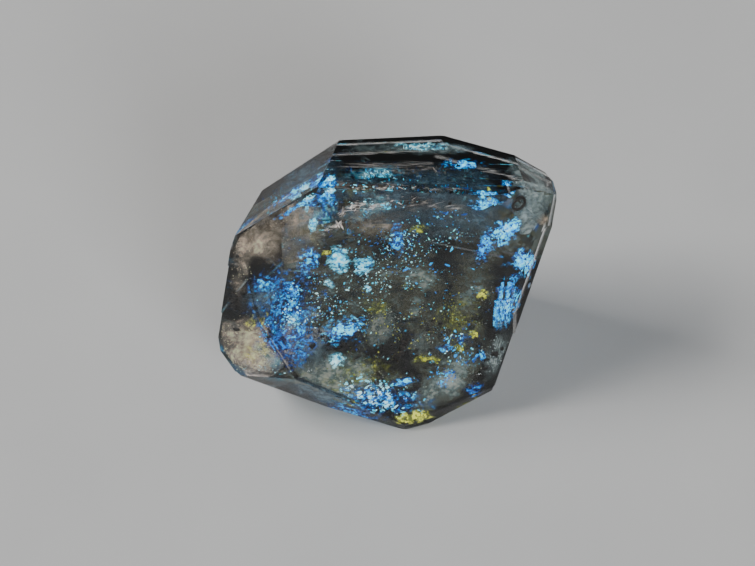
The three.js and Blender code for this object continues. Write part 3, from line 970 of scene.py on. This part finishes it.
def grains_of(row, rng):
    """Grains of one veil, with a tint that drifts over it."""
    across, down, radius, x = spots(row, rng, row["count"] * 3)
    place = seat(across, down, depth_at(row, x, rng, rng.uniform(-1, 1)))
    drift = cloudy(down, across, DRIFT_PIXELS)
    good = is_inside(place, CLEAR_OF_FACES)
    place, drift = place[good], drift[good]
    small, large = row["size"]
    size = small * (large / small) ** (rng.uniform(0, 1, len(place)) ** 2)
    tints = row["tint"][0] + (row["tint"][1] - row["tint"][0]) * drift
    return grains(place, size * PIXEL / 2, tints, rng)


rng = np.random.default_rng(21)
for look, rows in VEILS.items():
    stops = VEIL_STOPS[look]
    specks = joined([grains_of(row, rng) for row in rows.values()])
    mesh_piece(f"{look}_grains", "veil", specks, oil_material(f"{look}_grain", stops, GRAIN_PAINTED_GLOW))
    films = joined([film_of(row, rng) for row in rows.values()])
    paint = oil_material(f"{look}_veil", stops, VEIL_PAINTED_GLOW, VEIL_CUT)
    mesh_piece(f"{look}_veils", "veil", films, paint, smooth=True)

# %% [markdown]
# ## Silvery cracks
#
# An open crack looks like crumpled foil: bright creases around see-through facets. A mirror sheet
# would flash or go black as the view turns. So it is a film whose cells are large and whose middles
# are open, squashed along the crack, with long pale slivers on it. The brightness of creases and
# slivers is painted highlight: they glow, so they show from every side.

# %% Cracks
CRACKS = {
    "foil left": patch((354, 209), (18, 5), -26, (0.1, 0.16), 16, (1.6, 5), 6.0, (0.6, 1), film=0.5),
    "foil low left": patch((332, 230), (15, 4), -28, (0.1, 0.16), 18, (1.6, 5.5), 6.0, (0.7, 1), film=0.5),
    "foil middle": patch((392, 203), (34, 8), -8, (0.12, 0.22), 16, (1.2, 4), 6.0, (0.3, 0.9), film=0.5),
    "foil right": patch((438, 206), (30, 6), 8, (0.12, 0.22), 8, (1.2, 3), 6.0, (0.1, 0.6), film=0.3),
    "band foil": patch((415, 168), (60, 5), 2, (0.1, 0.3), 26, (1, 3), 6.0, (0.1, 0.8), film=0.35),
}
# Dark crack at the low end, painted highlight at the bright end; slivers and foil glow with it.
CRACK_AND_SHEEN_STOPS = [
    (0, (0.04, 0.05, 0.05)), (0.5, (0.2, 0.18, 0.14)), (0.8, (0.5, 0.44, 0.4)), (1, (0.95, 0.86, 0.8)),
]
CRACK_CUT = {
    "Squash": (0.28, 1, 1), "Lumps": 1400, "Detail": 4, "Grain": 0.5, "Softness": 0.6, "Contrast": 0.5,
    "Cells": 2200, "Rims": 0.5, "Open": 0.75,
}
SLIVER_PAINTED_GLOW = 0.6
FOIL_PAINTED_GLOW = 0.7
rng = np.random.default_rng(33)
slivers = joined([flecks_of(row, rng) for row in CRACKS.values()])
mesh_piece("crack_slivers", "veil", slivers, oil_material("crack_sliver", CRACK_AND_SHEEN_STOPS, SLIVER_PAINTED_GLOW))
foil = joined([film_of(row, rng) for row in CRACKS.values()])
mesh_piece("crack_foil", "veil", foil, oil_material("crack_foil", CRACK_AND_SHEEN_STOPS, FOIL_PAINTED_GLOW, CRACK_CUT))

# %% [markdown]
# ## A bubble
#
# One gas bubble sits behind the right corner. It shows as a dark ring, because its rim turns the
# light away. A hollow glass sphere would need many more bounces of light for the same look, so that
# dark ring is painted shade: a thin black torus of a few hundred faces that faces the photograph's camera.

# %% Bubble
BUBBLE_PIXEL = (521, 203)
BUBBLE_DEPTH = 0.15
BUBBLE_RADIUS = 5.5 * PIXEL
BUBBLE_RIM = 1.7 * PIXEL


def ring(middle, radius, tube, around=28, across=8):
    """Torus that faces the camera: middle + (radius + tube cos b)(cos a, sin a) + tube sin b."""
    a, b = np.meshgrid(np.arange(around) * 2 * np.pi / around, np.arange(across) * 2 * np.pi / across)
    a, b = a.T.ravel(), b.T.ravel()
    out = np.cos(a)[:, None] * RIGHT + np.sin(a)[:, None] * UPWARD
    points = middle + (radius + tube * np.cos(b))[:, None] * out + (tube * np.sin(b))[:, None] * BACK
    i, j = np.meshgrid(np.arange(around), np.arange(across), indexing="ij")
    i, j, k, m = i.ravel(), j.ravel(), (i.ravel() + 1) % around, (j.ravel() + 1) % across
    faces = np.stack([i * across + j, k * across + j, k * across + m, i * across + m], axis=1)
    return points, faces, {"tint": np.full(len(points), 0.3)}


middle = seat(np.array([BUBBLE_PIXEL[0]]), np.array([BUBBLE_PIXEL[1]]), BUBBLE_DEPTH)[0]
bubble = ring(middle, BUBBLE_RADIUS, BUBBLE_RIM)
# The ring is painted shade: the bitumen's black, without glow, laid where the bubble's rim turns the light
# away.
mesh_piece("bubble_shade_ring", "bitumen", bubble, oil_material("bubble_rim_shade", BLACK_STOPS, 0.0), smooth=True)

# %% [markdown]
# ## The floor
#
# The stone stands on a plain pale card. A pure white card would wash out a clear stone that shows
# it in its facets, so it is a light grey with a mottle too faint to see as a pattern.

# %% Floor
def floor_material():
    """Pale card with a faint mottle."""
    material, tree, shader, _ = new_material("floor")
    place = tree.nodes.new("ShaderNodeTexCoord")
    noise = tree.nodes.new("ShaderNodeTexNoise")
    noise.inputs["Scale"].default_value = 90
    noise.inputs["Detail"].default_value = 4
    tree.links.new(place.outputs["Object"], noise.inputs["Vector"])
    colours = ramp(tree, [(0.3, (0.60, 0.60, 0.60)), (0.7, (0.64, 0.64, 0.635))])
    tree.links.new(noise.outputs["Fac"], colours.inputs["Fac"])
    tree.links.new(colours.outputs["Color"], shader.inputs["Base Color"])
    shader.inputs["Roughness"].default_value = 0.8
    return material


FLOOR_REACH = 1.5
card = np.array([[-1, -1, 0], [1, -1, 0], [1, 1, 0], [-1, 1, 0]]) * FLOOR_REACH
floor = mesh_piece("floor", None, (card, np.array([[0, 1, 2, 3]]), {}), floor_material())
floor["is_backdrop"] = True

# %% [markdown]
# ## Light
#
# Two large soft lamps and a dim sky light the card evenly. One lamp stands at the left of the
# stone and one in front of it, to the right. A lamp overhead would be simpler, but it shows in the
# facets as a white spot. A clear stone needs some dark to look deep, so the sky darkens upwards.

# %% Lights
MIDDLE = (0, 0, 0.006)


def soft_light(name, place, size, power, colour):
    """Square area light that looks at the crystal's middle."""
    data = bpy.data.lights.new(name, "AREA")
    data.shape = "SQUARE"
    data.size = size
    data.energy = power
    data.color = colour
    lamp = bpy.data.objects.new(name, data)
    lamp.location = place
    away = mathutils.Vector(place) - mathutils.Vector(MIDDLE)
    lamp.rotation_mode = "QUATERNION"
    lamp.rotation_quaternion = away.to_track_quat("Z", "Y")
    bpy.context.collection.objects.link(lamp)
    return lamp


soft_light("key", (-0.38, 0.04, 0.40), 0.22, 2.4, (1, 0.98, 0.95))
soft_light("fill", (0.20, -0.44, 0.36), 0.25, 1.4, (0.92, 0.96, 1))

world = bpy.data.worlds.new("studio")
world.use_nodes = True
sky = world.node_tree
direction = sky.nodes.new("ShaderNodeTexCoord")
height = sky.nodes.new("ShaderNodeSeparateXYZ")
fade = ramp(sky, [(0.04, (0.5, 0.5, 0.5)), (0.3, (0.15, 0.155, 0.16))])
sky.links.new(direction.outputs["Generated"], height.inputs[0])
sky.links.new(height.outputs["Z"], fade.inputs["Fac"])
sky.links.new(fade.outputs["Color"], sky.nodes["Background"].inputs["Color"])
bpy.context.scene.world = world

# %% [markdown]
# ## Camera
#
# The photograph shows little perspective. A short lens close by would spread the faces apart, so a
# long lens looks from 0.8 m, and its sight lines are near enough to parallel for the seats above.
# The lens follows from the distance and from how much of the plane the picture covers.

# %% Camera
DISTANCE = 0.8
SENSOR = 36
AIM_DEPTH = 120 * PIXEL
aim = on_screen(np.array([PICTURE[0] / 2]), np.array([PICTURE[1] / 2]))[0] - BACK * AIM_DEPTH
camera = bpy.data.objects.new("camera", bpy.data.cameras.new("camera"))
camera.data.sensor_width = SENSOR
camera.data.lens = SENSOR * DISTANCE / (PICTURE[0] * PIXEL)
camera.data.clip_start = 0.05
camera.data.clip_end = 10
camera.location = aim + BACK * DISTANCE
camera.rotation_mode = "QUATERNION"
camera.rotation_quaternion = mathutils.Vector(BACK).to_track_quat("Z", "Y")
bpy.context.collection.objects.link(camera)
bpy.context.scene.camera = camera
print("lens", round(camera.data.lens), "mm at", DISTANCE, "m")

# %% [markdown]
# ## Size and finish
#
# Everything new lies inside the crystal, so the box of the whole model must not have grown. The
# box is measured again, and the last line prints how much it grew.

# %% Size and finish
box_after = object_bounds()
grown = max(abs(b - a) for low, high in zip(box_before, box_after) for a, b in zip(low, high))
print("the box grew by", round(grown * 1000, 3), "mm")
